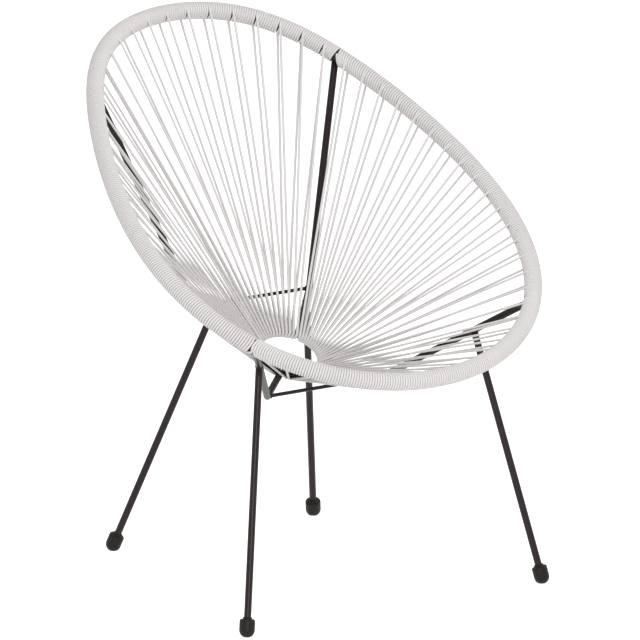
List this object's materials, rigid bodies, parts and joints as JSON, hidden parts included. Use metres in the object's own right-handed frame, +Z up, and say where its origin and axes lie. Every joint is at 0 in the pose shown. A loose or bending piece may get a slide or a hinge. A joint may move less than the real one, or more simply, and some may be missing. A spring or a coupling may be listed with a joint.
{
  "type": "acapulco chair",
  "caption": "Low patio lounge chair: an egg-shaped steel rim on bent rod legs, with plastic cord strung from the rim to a small centre ring as a bowl seat",
  "frame": {"origin": "On the floor under the middle of the rim's outline, midway between its sides", "axes": "+Z up, the front of the seat towards -Y, +X to the right seen from the front"},
  "size_m": [0.7182, 0.8182, 0.891],
  "materials": {
    "frame": "satin",
    "cord": "satin",
    "foot": "matte"
  },
  "bodies": {
    "root": {"rim_tube": "frame", "seat_ring": "frame", "crossbar_front": "frame", "crossbar_rear": "frame", "rib_front_left": "frame", "rib_front_right": "frame", "rib_rear_left": "frame", "rib_rear_right": "frame", "leg_front_left": "frame", "leg_front_right": "frame", "leg_rear_left": "frame", "leg_rear_right": "frame", "foot_cap_front_left": "foot", "foot_cap_front_right": "foot", "foot_cap_rear_left": "foot", "foot_cap_rear_right": "foot", "seat_cord_01": "cord", "seat_cord_02": "cord", "seat_cord_03": "cord", "seat_cord_04": "cord", "seat_cord_05": "cord", "seat_cord_06": "cord", "seat_cord_07": "cord", "seat_cord_08": "cord", "seat_cord_09": "cord", "seat_cord_10": "cord", "seat_cord_11": "cord", "seat_cord_12": "cord", "seat_cord_13": "cord", "seat_cord_14": "cord", "seat_cord_15": "cord", "seat_cord_16": "cord"}
  },
  "joints": []
}
